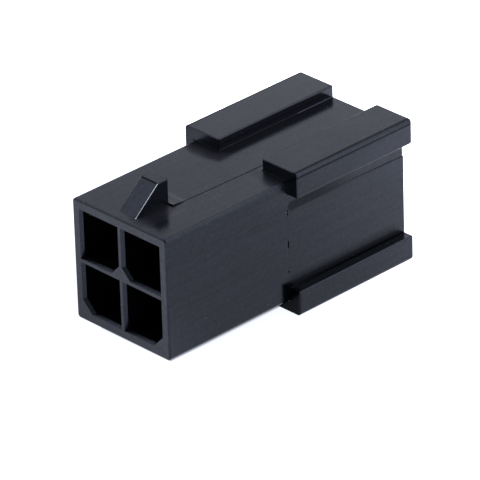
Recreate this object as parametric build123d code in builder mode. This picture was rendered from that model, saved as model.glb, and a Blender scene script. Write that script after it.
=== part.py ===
from build123d import *
import os

# Wire-to-wire plug housing for crimped pin contacts: two rows of two circuits, one moulding.
# Millimetres. X runs across the circuits, Y from the mating face to the wire side, Z up.
# The origin lies under the middle of the housing, on the surface that its lower rails stand on.

# Circuit grid
circuit_pitch = 3.0
circuit_rows = 2
circuit_columns = 2

# Square body
housing_length = 16.66
side_wall = 0.555
roof_wall = 0.59
cell_divider = 0.38
body_edge_radius = 0.20
mating_rim_radius = 0.10

# Keyed mating cells, open to the front
mating_depth = 8.0
upper_key_cut = 0.54
lower_key_cut = 0.64
lead_in_width = 0.10
lead_in_depth = 0.20

# Corner rails along the wire side
rail_length = 8.25
rail_side_reach = 0.65
rail_rise = 0.65
rail_width = 2.45
rail_height = 1.40
rail_corner_radius = 0.20
rail_edge_radius = 0.08
rail_front_radius = 0.05
rail_root_radius = 0.05
rear_edge_radius = 0.16

# Latch ramp on the roof
latch_width = 1.20
latch_setback = 0.62
latch_run = 1.565
latch_flat = 0.69
latch_rise = 1.345
latch_edge_radius = 0.06

# Low pad on the roof from the latch to the rear: a raised nose behind the latch, then a thin wider step
pad_nose_height = 0.085
pad_nose_length = 0.80
pad_height = 0.02
pad_front_width = 2.06
pad_rear_width = 2.34
pad_overlap = 0.12

# Panels on the sides between the rails, nearly flush at the parting line and higher to the rear
panel_front_height = 0.004
panel_rear_height = 0.05
panel_front_gap = 0.76
panel_rear_gap = 0.92
panel_inset = 0.06
panel_edge_radius = 0.04

# Parting line just ahead of the rails, with small nicks at some heights above the lower rails
parting_offset = 0.075
nick_width = 0.08
nick_depth = 0.06
nick_lengths = {4.44: 0.09, 4.25: 0.11, 2.54: 0.40, 0.97: 0.12}

# Wall between each mating cell and its terminal cavity
pin_wall = 1.20
pin_passage = 1.10
pin_funnel_depth = 0.40
tang_window_width = 0.90
tang_window_height = 0.20
tang_pocket_reach = 1.80

# Terminal cavities, open to the rear
barrel_bore = 2.10
wire_bore = 2.50
wire_bore_depth = 3.40
wire_step_depth = 0.25
wire_lead_in = 0.15

# Sizes that follow
cell_width = circuit_pitch - cell_divider
body_width = circuit_pitch * circuit_columns - cell_divider + 2 * side_wall
body_height = circuit_pitch * circuit_rows - cell_divider + 2 * roof_wall
rail_span = body_width + 2 * rail_side_reach
rail_stack = body_height + 2 * rail_rise
mid_z = rail_stack / 2
roof_z = mid_z + body_height / 2
front_y = -housing_length / 2
rear_y = housing_length / 2
rail_front_y = rear_y - rail_length
rail_inner_x = rail_span / 2 - rail_width
rail_inner_z = rail_stack / 2 - rail_height
latch_foot_y = front_y + latch_setback
latch_crest_y = latch_foot_y + latch_run
latch_rear_y = latch_crest_y + latch_flat
pad_front_y = latch_rear_y - pad_overlap
pad_step_y = pad_front_y + pad_nose_length
pad_rear_y = rear_y - rear_edge_radius
pad_flare = (pad_rear_width - pad_front_width) / (rail_front_y - pad_front_y)
pad_step_width = pad_front_width + pad_nose_length * pad_flare
parting_y = rail_front_y - parting_offset
panel_rear_y = rear_y - panel_inset
pin_wall_y = front_y + mating_depth
barrel_y = pin_wall_y + pin_wall
wire_bore_y = rear_y - wire_bore_depth
same_place = 0.001


def cross_section(y):
    """Plane across the housing at y, seen from the mating face: local x is X, local y is Z."""
    return Plane(origin=(0, y, mid_z), x_dir=(1, 0, 0), z_dir=(0, -1, 0))


def circuit_places():
    """Row, column and centre of each circuit in a cross-section."""
    for row in range(circuit_rows):
        for column in range(circuit_columns):
            x = (column - (circuit_columns - 1) / 2) * circuit_pitch
            z = (row - (circuit_rows - 1) / 2) * circuit_pitch
            yield row, column, (x, z)


def cell_outline(row, column):
    """Square outline of one mating cell with a lower corner cut off as its key.

    The cut corner faces the middle in the upper row, and the outside in the rows below it.
    """
    upper = row == circuit_rows - 1
    left = column < circuit_columns / 2
    cut_on_right = left if upper else not left
    key_cut = upper_key_cut if upper else lower_key_cut
    with BuildSketch() as outline:
        Rectangle(cell_width, cell_width)
        lower_corners = outline.vertices().group_by(Axis.Y)[0].sort_by(Axis.X)
        chamfer(lower_corners[-1] if cut_on_right else lower_corners[0], length=key_cut)
    return outline.sketch


def from_middle(edge):
    """Distances of an edge's centre from the middle of the housing, across and up or down."""
    middle = edge.center()
    return abs(middle.X), abs(middle.Z - mid_z)


def is_rail_edge(edge):
    """True for an edge along a rail where its top or underside meets its side, or its inner wall."""
    across, upright = from_middle(edge)
    on_top = max(abs(across - rail_inner_x), abs(upright - rail_stack / 2)) < same_place
    on_side = max(abs(across - rail_span / 2), abs(upright - rail_inner_z)) < same_place
    return on_top or on_side


def is_rail_root(edge):
    """True for an edge along a rail where it leaves the skin of the square body."""
    across, upright = from_middle(edge)
    on_roof = max(abs(across - rail_inner_x), abs(upright - body_height / 2)) < same_place
    on_side = max(abs(across - body_width / 2), abs(upright - rail_inner_z)) < same_place
    return on_roof or on_side


def stands_off_body(edge):
    """True for an edge that lies outside the skin of the square body."""
    across, upright = from_middle(edge)
    return across > body_width / 2 + same_place or upright > body_height / 2 + same_place


# Four corner rails, with the outermost edge of each rounded most
with BuildPart() as corner_rails:
    with BuildSketch(cross_section(rail_front_y)) as rail_section:
        with Locations((rail_span / 2, rail_stack / 2)):
            Rectangle(rail_width, rail_height, align=(Align.MAX, Align.MAX))
        outermost = rail_section.vertices().sort_by(lambda vertex: vertex.X + vertex.Y)[-1]
        fillet(outermost, radius=rail_corner_radius)
        mirror(about=Plane.YZ)
        mirror(about=Plane.XZ)
    extrude(amount=-rail_length)


# Panel of one side, sunk into the side wall
with BuildPart() as side_panel:
    for y, height, gap in (
        (parting_y, panel_front_height, panel_front_gap),
        (panel_rear_y, panel_rear_height, panel_rear_gap),
    ):
        with BuildSketch(cross_section(y)):
            with Locations((body_width / 2 + height, rail_inner_z - gap)):
                Rectangle(side_wall / 2 + height, 2 * rail_inner_z - gap, align=(Align.MAX, Align.MAX))
    loft()
    for axis in (Axis.Z, Axis.Y):
        outer_face = side_panel.faces().sort_by(Axis.X)[-1]
        fillet(outer_face.edges().sort_by(axis)[-1], radius=panel_edge_radius)


# Roof pad, half sunk into the roof wall, in three lofts: its nose, on to the rails, and between them
with BuildPart() as roof_pad:
    for near_y, near_width, near_height, far_y, far_width in (
        (pad_front_y, pad_front_width, pad_nose_height, pad_step_y, pad_step_width),
        (pad_step_y, pad_step_width, pad_height, rail_front_y, pad_rear_width),
        (rail_front_y, pad_rear_width, pad_height, pad_rear_y, pad_rear_width),
    ):
        with BuildSketch(cross_section(near_y)):
            with Locations((0, body_height / 2)):
                Rectangle(near_width, 2 * near_height)
        with BuildSketch(cross_section(far_y)):
            with Locations((0, body_height / 2)):
                Rectangle(far_width, 2 * pad_height)
        loft()


# Latch ramp, sunk into the roof wall
with BuildPart() as latch_ramp:
    with BuildSketch(Plane.YZ.offset(-latch_width / 2)):
        with BuildLine():
            Polyline(
                (latch_foot_y, roof_z),
                (latch_crest_y, roof_z + latch_rise),
                (latch_rear_y, roof_z + latch_rise),
                (latch_rear_y, roof_z - roof_wall / 2),
                (latch_foot_y, roof_z - roof_wall / 2),
                close=True,
            )
        make_face()
    extrude(amount=latch_width)
    ramp_edges = latch_ramp.edges().filter_by(lambda edge: edge.center().Z > roof_z + same_place)
    fillet(ramp_edges, radius=latch_edge_radius)


# Space of one terminal cavity, on the middle line of the housing
with BuildPart() as terminal_space:
    # Pin passage, funnel, barrel bore, step, wire bore and its lead-in, each a square at both ends
    for near_y, near_bore, far_y, far_bore in (
        (pin_wall_y, pin_passage, barrel_y, pin_passage),
        (barrel_y - pin_funnel_depth, pin_passage, barrel_y, barrel_bore - pin_funnel_depth),
        (barrel_y, barrel_bore, wire_bore_y, barrel_bore),
        (wire_bore_y, barrel_bore, wire_bore_y + wire_step_depth, wire_bore),
        (wire_bore_y + wire_step_depth, wire_bore, rear_y, wire_bore),
        (rear_y - wire_lead_in, wire_bore, rear_y, wire_bore + 2 * wire_lead_in),
    ):
        with BuildSketch(cross_section(near_y)):
            Rectangle(near_bore, near_bore)
        with BuildSketch(cross_section(far_y)):
            Rectangle(far_bore, far_bore)
        loft()
    # Windows in the pin wall that run on as pockets for the contact's two locking tangs
    with BuildSketch(cross_section(pin_wall_y)):
        with GridLocations(0, barrel_bore + tang_window_height, 1, 2):
            Rectangle(tang_window_width, tang_window_height)
    extrude(amount=-tang_pocket_reach)


with BuildPart() as plug_housing:
    # Square body with its long edges and the rim of its mating face rounded
    with BuildSketch(cross_section(front_y)):
        RectangleRounded(body_width, body_height, body_edge_radius)
    extrude(amount=-housing_length)
    fillet(plug_housing.faces().sort_by(Axis.Y)[0].edges(), radius=mating_rim_radius)

    # Rails, then the roundings of the rear outline, the rails' long edges, fronts and roots
    add(corner_rails.part)
    fillet(plug_housing.faces().sort_by(Axis.Y)[-1].edges(), radius=rear_edge_radius)
    fillet(plug_housing.edges().filter_by(Axis.Y).filter_by(is_rail_edge), radius=rail_edge_radius)
    at_rail_fronts = (rail_front_y - same_place, rail_front_y + same_place)
    rail_fronts = plug_housing.faces().filter_by_position(Axis.Y, *at_rail_fronts)
    fillet(rail_fronts.edges().filter_by(stands_off_body), radius=rail_front_radius)
    fillet(plug_housing.edges().filter_by(Axis.Y).filter_by(is_rail_root), radius=rail_root_radius)

    add(side_panel.part)
    add(side_panel.part.mirror(Plane.YZ))
    add(roof_pad.part)
    add(latch_ramp.part)

    # Mating cells, with a lead-in round each mouth
    with BuildSketch(cross_section(front_y)):
        for row, column, centre in circuit_places():
            with Locations(centre):
                add(cell_outline(row, column))
    extrude(amount=-mating_depth, mode=Mode.SUBTRACT)
    mating_face = plug_housing.faces().sort_by(Axis.Y)[0]
    cell_mouths = mating_face.inner_wires().edges()
    chamfer(cell_mouths, length=lead_in_width, length2=lead_in_depth, reference=mating_face)

    # Nicks on the parting line of both sides
    for height, length in nick_lengths.items():
        nick_z = rail_height + height
        with Locations((-body_width / 2, parting_y, nick_z), (body_width / 2, parting_y, nick_z)):
            Box(2 * nick_depth, nick_width, length, mode=Mode.SUBTRACT)

    # Terminal cavities behind the cells
    with Locations(*((x, 0, z) for row, column, (x, z) in circuit_places())):
        add(terminal_space.part, mode=Mode.SUBTRACT)

plug_housing.part.label = "plug_housing"
print(plug_housing.part.bounding_box(), len(plug_housing.solids()), plug_housing.part.is_valid)

os.makedirs("parts", exist_ok=True)
export_step(plug_housing.part, "parts/plug_housing.step")
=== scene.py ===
import bpy
import math
from mathutils import Matrix, Vector

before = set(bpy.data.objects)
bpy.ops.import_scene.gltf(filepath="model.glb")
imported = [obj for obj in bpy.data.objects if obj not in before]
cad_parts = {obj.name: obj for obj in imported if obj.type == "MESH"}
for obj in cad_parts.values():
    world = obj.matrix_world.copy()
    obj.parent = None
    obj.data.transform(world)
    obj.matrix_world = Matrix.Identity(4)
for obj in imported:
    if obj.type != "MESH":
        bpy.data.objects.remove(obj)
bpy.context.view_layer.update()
print("housing loaded")

mm = 0.001  # the scene is in metres


def addNode(tree, kind, **values):
    node = tree.nodes.new(kind)
    for name, value in values.items():
        setattr(node, name, value)
    return node


def newMaterial(name):
    material = bpy.data.materials.new(name)
    material.use_nodes = True
    return material, material.node_tree, material.node_tree.nodes["Principled BSDF"]


# Puts a link or a constant on each input of a maths node and returns the node
def mathNode(tree, kind, operation, *inputs):
    node = addNode(tree, kind, operation=operation)
    for socket, value in zip(node.inputs, inputs):
        if isinstance(value, bpy.types.NodeSocket):
            tree.links.new(value, socket)
        else:
            socket.default_value = value
    return node


# One step of arithmetic on plain numbers, giving its result's socket
def number(tree, operation, *inputs):
    return mathNode(tree, "ShaderNodeMath", operation, *inputs).outputs[0]


# The same on vectors, where the result is a vector or, named "Value", a plain number
def vector(tree, operation, *inputs, result="Vector"):
    return mathNode(tree, "ShaderNodeVectorMath", operation, *inputs).outputs[result]


# Turns a value between two limits into one between two others, held at the ends
def remap(tree, value, fromMin, fromMax, toMin, toMax, smooth=True):
    node = addNode(tree, "ShaderNodeMapRange", interpolation_type="SMOOTHSTEP" if smooth else "LINEAR")
    tree.links.new(value, node.inputs["Value"])
    limits = {"From Min": fromMin, "From Max": fromMax, "To Min": toMin, "To Max": toMax}
    for name, limit in limits.items():
        node.inputs[name].default_value = limit
    return node.outputs["Result"]


# A noise whose features are this many millimetres wide
def addNoise(tree, place, size, detail=2):
    noise = addNode(tree, "ShaderNodeTexNoise")
    noise.inputs["Scale"].default_value = 1 / (size * mm)
    noise.inputs["Detail"].default_value = detail
    tree.links.new(place, noise.inputs["Vector"])
    return noise.outputs["Fac"]


# The nylon's finish, with its sizes in millimetres. A spread is reached at the two ends of the noise's range.
nylon = {
    "color": (0.0009, 0.0011, 0.0017),
    "colorSpread": 0.25,
    "roughness": 0.15,
    "roughnessSpread": 0.03,
    "ior": 1.53,
    "specularLevel": 0.25,
    "specularTint": (0.70, 0.78, 1.0),
    "noiseRange": (0.3, 0.7),
    "cloudSize": 2.6,
    "cloudDetail": 3,
    "streakSpread": 0.08,
    "streakWidth": 0.15,
    "streakStretch": 25,
    "mottleSpread": 0.12,
    "mottleSize": 0.2,
    "fleckSpacing": 0.42,
    "fleckSize": 0.06,
    "fleckStrength": 0.16,
    "fleckPatches": (0.42, 0.6),
    "grainSize": 0.07,
    "grainHeight": 0.0032,
    "highlightAndFleckColor": (0.86, 0.88, 0.92),
}

# Marks on the skin, as lines in millimetres: pale, matt marks paint a highlight; marks that lose their sheen
# paint shade in roots, creases, under the upper rails, on the low rail's front and on the latch, and also
# draw dark seam lines; and the blurred ones add this much roughness. A mark with a fade grows weaker over
# this share of its length, and paired marks are on both sides.
marks = {
    # Painted highlight: a pale line along the latch's right sloping edge.
    "latchEdge": {"start": (0.60, -7.71, 7.45), "end": (0.60, -6.17, 8.77), "width": 0.07, "paintedHighlightAndFlecks": 1.0},
    # Painted shade: the latch's far edge, brow and top lose their sheen.
    "latchFarEdge": {"start": (-0.58, -7.6, 7.54), "end": (-0.58, -6.15, 8.77), "width": 0.18, "seamsAndPaintedShade": 0.5},
    "latchBrow": {"start": (-0.55, -6.17, 8.78), "end": (0.50, -6.17, 8.78), "width": 0.13,
                  "seamsAndPaintedShade": 0.8, "blurred": 0.3},
    "latchFarTop": {"start": (-0.58, -6.1, 8.79), "end": (-0.58, -5.47, 8.79), "width": 0.18,
                    "seamsAndPaintedShade": 0.8, "blurred": 0.35},
    "latchRearTop": {"start": (-0.58, -5.47, 8.79), "end": (0.58, -5.47, 8.79), "width": 0.18,
                     "seamsAndPaintedShade": 0.8, "blurred": 0.35},
    "latchHeel": {"start": (0.6, -6.0, 7.47), "end": (0.6, -5.5, 7.47), "width": 0.7, "blurred": 0.35},
    "besideLatch": {"start": (1.0, -7.5, 7.0), "end": (1.0, -5.9, 7.0), "width": 2.4, "blurred": 0.42},
    "padNose": {"start": (-0.9, -5.15, 7.46), "end": (0.9, -5.15, 7.46), "width": 1.6, "blurred": 0.3},
    "padWitness": {"start": (1.03, -5.55, 7.42), "end": (1.60, -5.20, 7.42), "width": 0.05, "seamsAndPaintedShade": 0.6},
    "bodyEdge": {"start": (3.31, -8.2, 7.39), "end": (3.31, 0.08, 7.39), "width": 0.6,
                 "blurred": 0.22, "paired": True},
    "partingWitness": {"start": (3.37, -0.05, 5.95), "end": (3.37, -2.60, 5.75), "width": 0.05, "seamsAndPaintedShade": 0.45},
    "aheadOfLeftRail": {"start": (-3.2, -0.3, 7.3), "end": (-1.4, -0.3, 7.3), "width": 2.2, "blurred": 0.36},
    "aheadOfRightRail": {"start": (1.6, -0.3, 7.3), "end": (3.0, -0.3, 7.3), "width": 2.2, "blurred": 0.26},
    # Painted shade: the rail roots, creases and far top edge, the band under the upper rails and the low
    # rail's front lose their sheen.
    "leftRailFoot": {"start": (-3.4, 0.06, 7.42), "end": (-1.55, 0.06, 7.42), "width": 0.18, "seamsAndPaintedShade": 0.8},
    "leftRailRoot": {"start": (-1.55, 0.06, 7.42), "end": (-1.55, 5.60, 7.42), "width": 0.18, "seamsAndPaintedShade": 0.7},
    "rightRailFoot": {"start": (1.55, 0.06, 7.42), "end": (3.30, 0.06, 7.42), "width": 0.18, "seamsAndPaintedShade": 0.8},
    "rightRailCorner": {"start": (3.38, 0.06, 7.34), "end": (3.38, 0.06, 6.75), "width": 0.18, "seamsAndPaintedShade": 0.8},
    "railFarTop": {"start": (1.58, 0.1, 8.06), "end": (1.58, 8.2, 8.06), "width": 0.22,
                   "seamsAndPaintedShade": 0.6, "blurred": 0.35},
    "railTopCrease": {"start": (3.84, 0.1, 8.07), "end": (3.84, 8.2, 8.07), "width": 0.24,
                      "seamsAndPaintedShade": 0.65, "blurred": 0.1, "paired": True},
    "railSideCrease": {"start": (4.02, 0.1, 7.85), "end": (4.02, 8.2, 7.85), "width": 0.16,
                       "seamsAndPaintedShade": 0.7, "blurred": 0.1, "paired": True},
    "underRail": {"start": (3.37, 0.3, 6.02), "end": (3.37, 6.0, 6.02), "width": 0.72,
                  "seamsAndPaintedShade": 0.6, "fade": 0.7, "paired": True},
    "aboveLowRail": {"start": (3.38, 0.3, 1.95), "end": (3.38, 8.2, 1.95), "width": 1.4, "blurred": 0.2},
    "lowRailRoot": {"start": (3.38, 0.06, 1.42), "end": (3.38, 8.20, 1.42), "width": 0.18, "seamsAndPaintedShade": 0.8},
    "lowRailFoot": {"start": (3.38, 0.06, 0.75), "end": (3.38, 0.06, 1.42), "width": 0.20, "seamsAndPaintedShade": 1.0},
    "lowRailFront": {"start": (3.6, 0.0, 0.0), "end": (3.6, 0.0, 1.4), "width": 1.1, "seamsAndPaintedShade": 0.85},
    "lowRailInner": {"start": (2.2, 0.0, 0.2), "end": (3.6, 0.0, 0.2), "width": 1.1, "seamsAndPaintedShade": 0.85},
}


# Factor that is 1 on a mark's line, out to a share of half its width, and falls to 0 at half its width away
def nearLine(tree, place, mark, core):
    start, end = (Vector(mark[key]) * mm for key in ("start", "end"))
    length = (end - start).length
    along = (end - start).normalized()
    offset = vector(tree, "SUBTRACT", place, start)
    reach = vector(tree, "DOT_PRODUCT", offset, along, result="Value")
    held = remap(tree, reach, 0, length, 0, length, smooth=False)
    closest = addNode(tree, "ShaderNodeVectorMath", operation="SCALE")
    closest.inputs[0].default_value = along
    tree.links.new(held, closest.inputs["Scale"])
    distance = vector(tree, "DISTANCE", offset, closest.outputs["Vector"], result="Value")
    half = mark["width"] * mm / 2
    near = remap(tree, distance, half * core, half, 1, 0)
    if "fade" in mark:
        left = remap(tree, reach, length * (1 - mark["fade"]), length, 1, 0)
        near = number(tree, "MULTIPLY", near, left)
    return near


# The marks of one kind together: at each place the strongest of them counts
def addMarks(tree, place, folded, kind, core=0.5):
    total = None
    for mark in marks.values():
        if kind in mark:
            near = nearLine(tree, folded if mark.get("paired") else place, mark, core)
            factor = number(tree, "MULTIPLY", near, mark[kind])
            total = number(tree, "MAXIMUM", total, factor) if total else factor
    return total


# The same place on the right-hand side, for marks that both sides have
def foldSides(tree, place):
    parts = addNode(tree, "ShaderNodeSeparateXYZ")
    tree.links.new(place, parts.inputs["Vector"])
    folded = addNode(tree, "ShaderNodeCombineXYZ")
    across = number(tree, "ABSOLUTE", parts.outputs["X"])
    for socket, value in zip(folded.inputs, (across, parts.outputs["Y"], parts.outputs["Z"])):
        tree.links.new(value, socket)
    return folded.outputs["Vector"]


def makeNylon(name, finish):
    material, tree, shader = newMaterial(name)
    link = tree.links.new
    shader.inputs["IOR"].default_value = finish["ior"]
    shader.inputs["Specular Tint"].default_value = (*finish["specularTint"], 1)
    place = addNode(tree, "ShaderNodeTexCoord").outputs["Object"]
    folded = foldSides(tree, place)

    # Slow clouds from the melt's flow, in colour and in roughness
    clouds = addNoise(tree, place, finish["cloudSize"], finish["cloudDetail"])
    rough = finish["roughness"]
    spread = finish["roughnessSpread"]
    roughness = remap(tree, clouds, *finish["noiseRange"], rough - spread, rough + spread, smooth=False)
    tint = addNode(tree, "ShaderNodeValToRGB")
    dark, pale = tint.color_ramp.elements
    dark.position, pale.position = finish["noiseRange"]
    dark.color = (*(c * (1 - finish["colorSpread"]) for c in finish["color"]), 1)
    pale.color = (*(c * (1 + finish["colorSpread"]) for c in finish["color"]), 1)
    link(clouds, tint.inputs["Fac"])

    # Sparse pale flecks, each in a cell of its own, in patches
    flecks = addNode(tree, "ShaderNodeTexVoronoi")
    flecks.inputs["Scale"].default_value = 1 / (finish["fleckSpacing"] * mm)
    link(place, flecks.inputs["Vector"])
    fleckSize = finish["fleckSize"]
    fleck = remap(tree, flecks.outputs["Distance"], fleckSize / 2, fleckSize, finish["fleckStrength"], 0)
    patches = remap(tree, clouds, *finish["fleckPatches"], 0, 1)
    fleck = number(tree, "MULTIPLY", fleck, patches)

    # The painted highlight and the flecks pale the colour. They are matt, and blurred marks add to the
    # roughness too.
    paintedHighlightAndFlecks = number(tree, "MAXIMUM", addMarks(tree, place, folded, "paintedHighlightAndFlecks"), fleck)
    highlightAndFleckMix = addNode(tree, "ShaderNodeMix", data_type="RGBA")
    colorInputs = [socket for socket in highlightAndFleckMix.inputs if socket.type == "RGBA"]
    colorInputs[1].default_value = (*finish["highlightAndFleckColor"], 1)
    link(paintedHighlightAndFlecks, highlightAndFleckMix.inputs["Factor"])
    link(tint.outputs["Color"], colorInputs[0])
    link([socket for socket in highlightAndFleckMix.outputs if socket.type == "RGBA"][0], shader.inputs["Base Color"])
    blurred = addMarks(tree, place, folded, "blurred", core=0)
    matt = number(tree, "MAXIMUM", paintedHighlightAndFlecks, blurred)
    link(number(tree, "ADD", roughness, matt), shader.inputs["Roughness"])

    # Marks that take the sheen away paint shade, and draw the dark seam lines. Faint streaks along the way
    # the mould opens and a fine mottle vary it.
    seamsAndPaintedShade = addMarks(tree, place, folded, "seamsAndPaintedShade")
    sheen = remap(tree, seamsAndPaintedShade, 0, 1, finish["specularLevel"], 0, smooth=False)
    stretch = addNode(tree, "ShaderNodeMapping")
    stretch.inputs["Scale"].default_value = (1, 1 / finish["streakStretch"], 1)
    link(place, stretch.inputs["Vector"])
    for kind, size, source in (("streakSpread", "streakWidth", stretch.outputs["Vector"]),
                               ("mottleSpread", "mottleSize", place)):
        noise = addNoise(tree, source, finish[size])
        spread = finish[kind]
        change = remap(tree, noise, *finish["noiseRange"], 1 - spread, 1 + spread, smooth=False)
        sheen = number(tree, "MULTIPLY", sheen, change)
    link(sheen, shader.inputs["Specular IOR Level"])

    # Fine grain of the mould's surface
    bump = addNode(tree, "ShaderNodeBump")
    bump.inputs["Distance"].default_value = finish["grainHeight"] * mm
    link(addNoise(tree, place, finish["grainSize"]), bump.inputs["Height"])
    link(bump.outputs["Normal"], shader.inputs["Normal"])
    return material


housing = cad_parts["plug_housing"]
housing.data.materials[0] = makeNylon("blackNylon", nylon)
print("nylon ready")

# The studio, in millimetres: a white floor under a dim sky. The floor's glow is painted light: it glows more
# along backward, which is to the back and the right as the camera sees it, and again just ahead of the
# housing.
studio = {
    "floorSize": 4000,
    "floorDrop": 0.02,
    "floorColor": (0.20, 0.20, 0.20),
    "floorRoughness": 0.9,
    "floorSpecularLevel": 0.1,
    "backward": (-0.40, 0.917, 0),
    "glowSpan": (-2, 22),
    "glow": (1.0, 2.9),
    "frontGlowSpan": (-12, -5),
    "frontGlow": 0.8,
    "paintedShadowFootprint": (2.3, 7.3),
    "paintedShadowFade": 0.3,
    "skyColor": (0.92, 0.95, 1.06),
    "skyStrength": 0.62,
    "lightTarget": (0, 0, 6),
}

# Each light: its direction and distance from the housing and its size in millimetres, and its brightness
lights = {
    "roofPanel": {"toward": (-0.638, 0.604, 0.477), "distance": 110, "size": (150, 100), "glow": 0.32},
    "rearLift": {"toward": (-0.451, 0.849, 0.273), "distance": 119, "size": (100, 50), "glow": 0.55},
    "edgePanel": {"toward": (0.477, 0.605, 0.637), "distance": 100, "size": (150, 150), "glow": 2.1},
    "latchPanel": {"toward": (-0.638, -0.381, 0.669), "distance": 120, "size": (100, 100), "glow": 1.4},
}


def makeFloor():
    half = studio["floorSize"] * mm / 2
    drop = -studio["floorDrop"] * mm
    corners = [(-half, -half, drop), (half, -half, drop), (half, half, drop), (-half, half, drop)]
    mesh = bpy.data.meshes.new("floor")
    mesh.from_pydata(corners, [], [(0, 1, 2, 3)])
    floor = bpy.data.objects.new("floor", mesh)
    bpy.context.scene.collection.objects.link(floor)
    material, tree, shader = newMaterial("paintedLightFloor")
    shader.inputs["Base Color"].default_value = (*studio["floorColor"], 1)
    shader.inputs["Roughness"].default_value = studio["floorRoughness"]
    shader.inputs["Specular IOR Level"].default_value = studio["floorSpecularLevel"]
    shader.inputs["Emission Color"].default_value = (*studio["skyColor"], 1)
    place = addNode(tree, "ShaderNodeTexCoord").outputs["Object"]
    depth = vector(tree, "DOT_PRODUCT", place, studio["backward"], result="Value")
    rearSpan, frontSpan = ([edge * mm for edge in studio[key]] for key in ("glowSpan", "frontGlowSpan"))
    glow = remap(tree, depth, *rearSpan, *studio["glow"])
    front = remap(tree, depth, *frontSpan, studio["frontGlow"], 0)
    glow = number(tree, "ADD", glow, front)

    # Painted shadow: no glow under the housing, so the floor there is dark.
    footprint = [side * mm for side in studio["paintedShadowFootprint"]]
    away = vector(tree, "SUBTRACT", vector(tree, "ABSOLUTE", place), (*footprint, 0))
    sides = addNode(tree, "ShaderNodeSeparateXYZ")
    tree.links.new(away, sides.inputs["Vector"])
    farther = number(tree, "MAXIMUM", sides.outputs["X"], sides.outputs["Y"])
    outsidePaintedShadow = remap(tree, farther, 0, studio["paintedShadowFade"] * mm, 0, 1)
    tree.links.new(number(tree, "MULTIPLY", glow, outsidePaintedShadow), shader.inputs["Emission Strength"])
    mesh.materials.append(material)


def makeLights():
    world = bpy.data.worlds.new("studio")
    bpy.context.scene.world = world
    world.use_nodes = True
    sky = world.node_tree.nodes["Background"]
    sky.inputs["Color"].default_value = (*studio["skyColor"], 1)
    sky.inputs["Strength"].default_value = studio["skyStrength"]
    target = Vector(studio["lightTarget"]) * mm
    for name, light in lights.items():
        data = bpy.data.lights.new(name, "AREA")
        data.shape = "RECTANGLE"
        data.size, data.size_y = (side * mm for side in light["size"])
        data.energy = light["glow"] * math.pi * data.size * data.size_y  # watts, from brightness and area
        data.color = studio["skyColor"]
        lamp = bpy.data.objects.new(name, data)
        toward = Vector(light["toward"]).normalized()
        lamp.location = target + toward * light["distance"] * mm
        lamp.rotation_euler = (-toward).to_track_quat("-Z", "Y").to_euler()
        bpy.context.scene.collection.objects.link(lamp)


makeFloor()
makeLights()
print("studio ready")

# Where the camera stands, with its angles in degrees and its lengths in millimetres. It sees the housing
# from the mating end, the right side and above.
shot = {
    "aim": (0.260, -0.373, 3.192),
    "distance": 264.3,
    "azimuth": 46.547,
    "elevation": 28.512,
    "roll": -1.793,
    "lens": 392.9,
    "sensorWidth": 36,
    "clip": (10, 10000),
}


def makeCamera():
    azimuth, elevation, roll = (math.radians(shot[key]) for key in ("azimuth", "elevation", "roll"))
    away = Vector((math.sin(azimuth), -math.cos(azimuth), 0))
    back = away * math.cos(elevation) + Vector((0, 0, math.sin(elevation)))
    levelRight = Vector((math.cos(azimuth), math.sin(azimuth), 0))
    levelUp = back.cross(levelRight)
    right = levelRight * math.cos(roll) + levelUp * math.sin(roll)
    up = back.cross(right)
    data = bpy.data.cameras.new("camera")
    data.lens = shot["lens"]
    data.sensor_width = shot["sensorWidth"]
    data.clip_start, data.clip_end = (reach * mm for reach in shot["clip"])
    camera = bpy.data.objects.new("camera", data)
    place = (Vector(shot["aim"]) + back * shot["distance"]) * mm
    camera.matrix_world = Matrix.Translation(place) @ Matrix((right, up, back)).transposed().to_4x4()
    bpy.context.scene.collection.objects.link(camera)
    bpy.context.scene.camera = camera


makeCamera()
bpy.context.scene.view_settings.view_transform = "Standard"
print("camera ready")
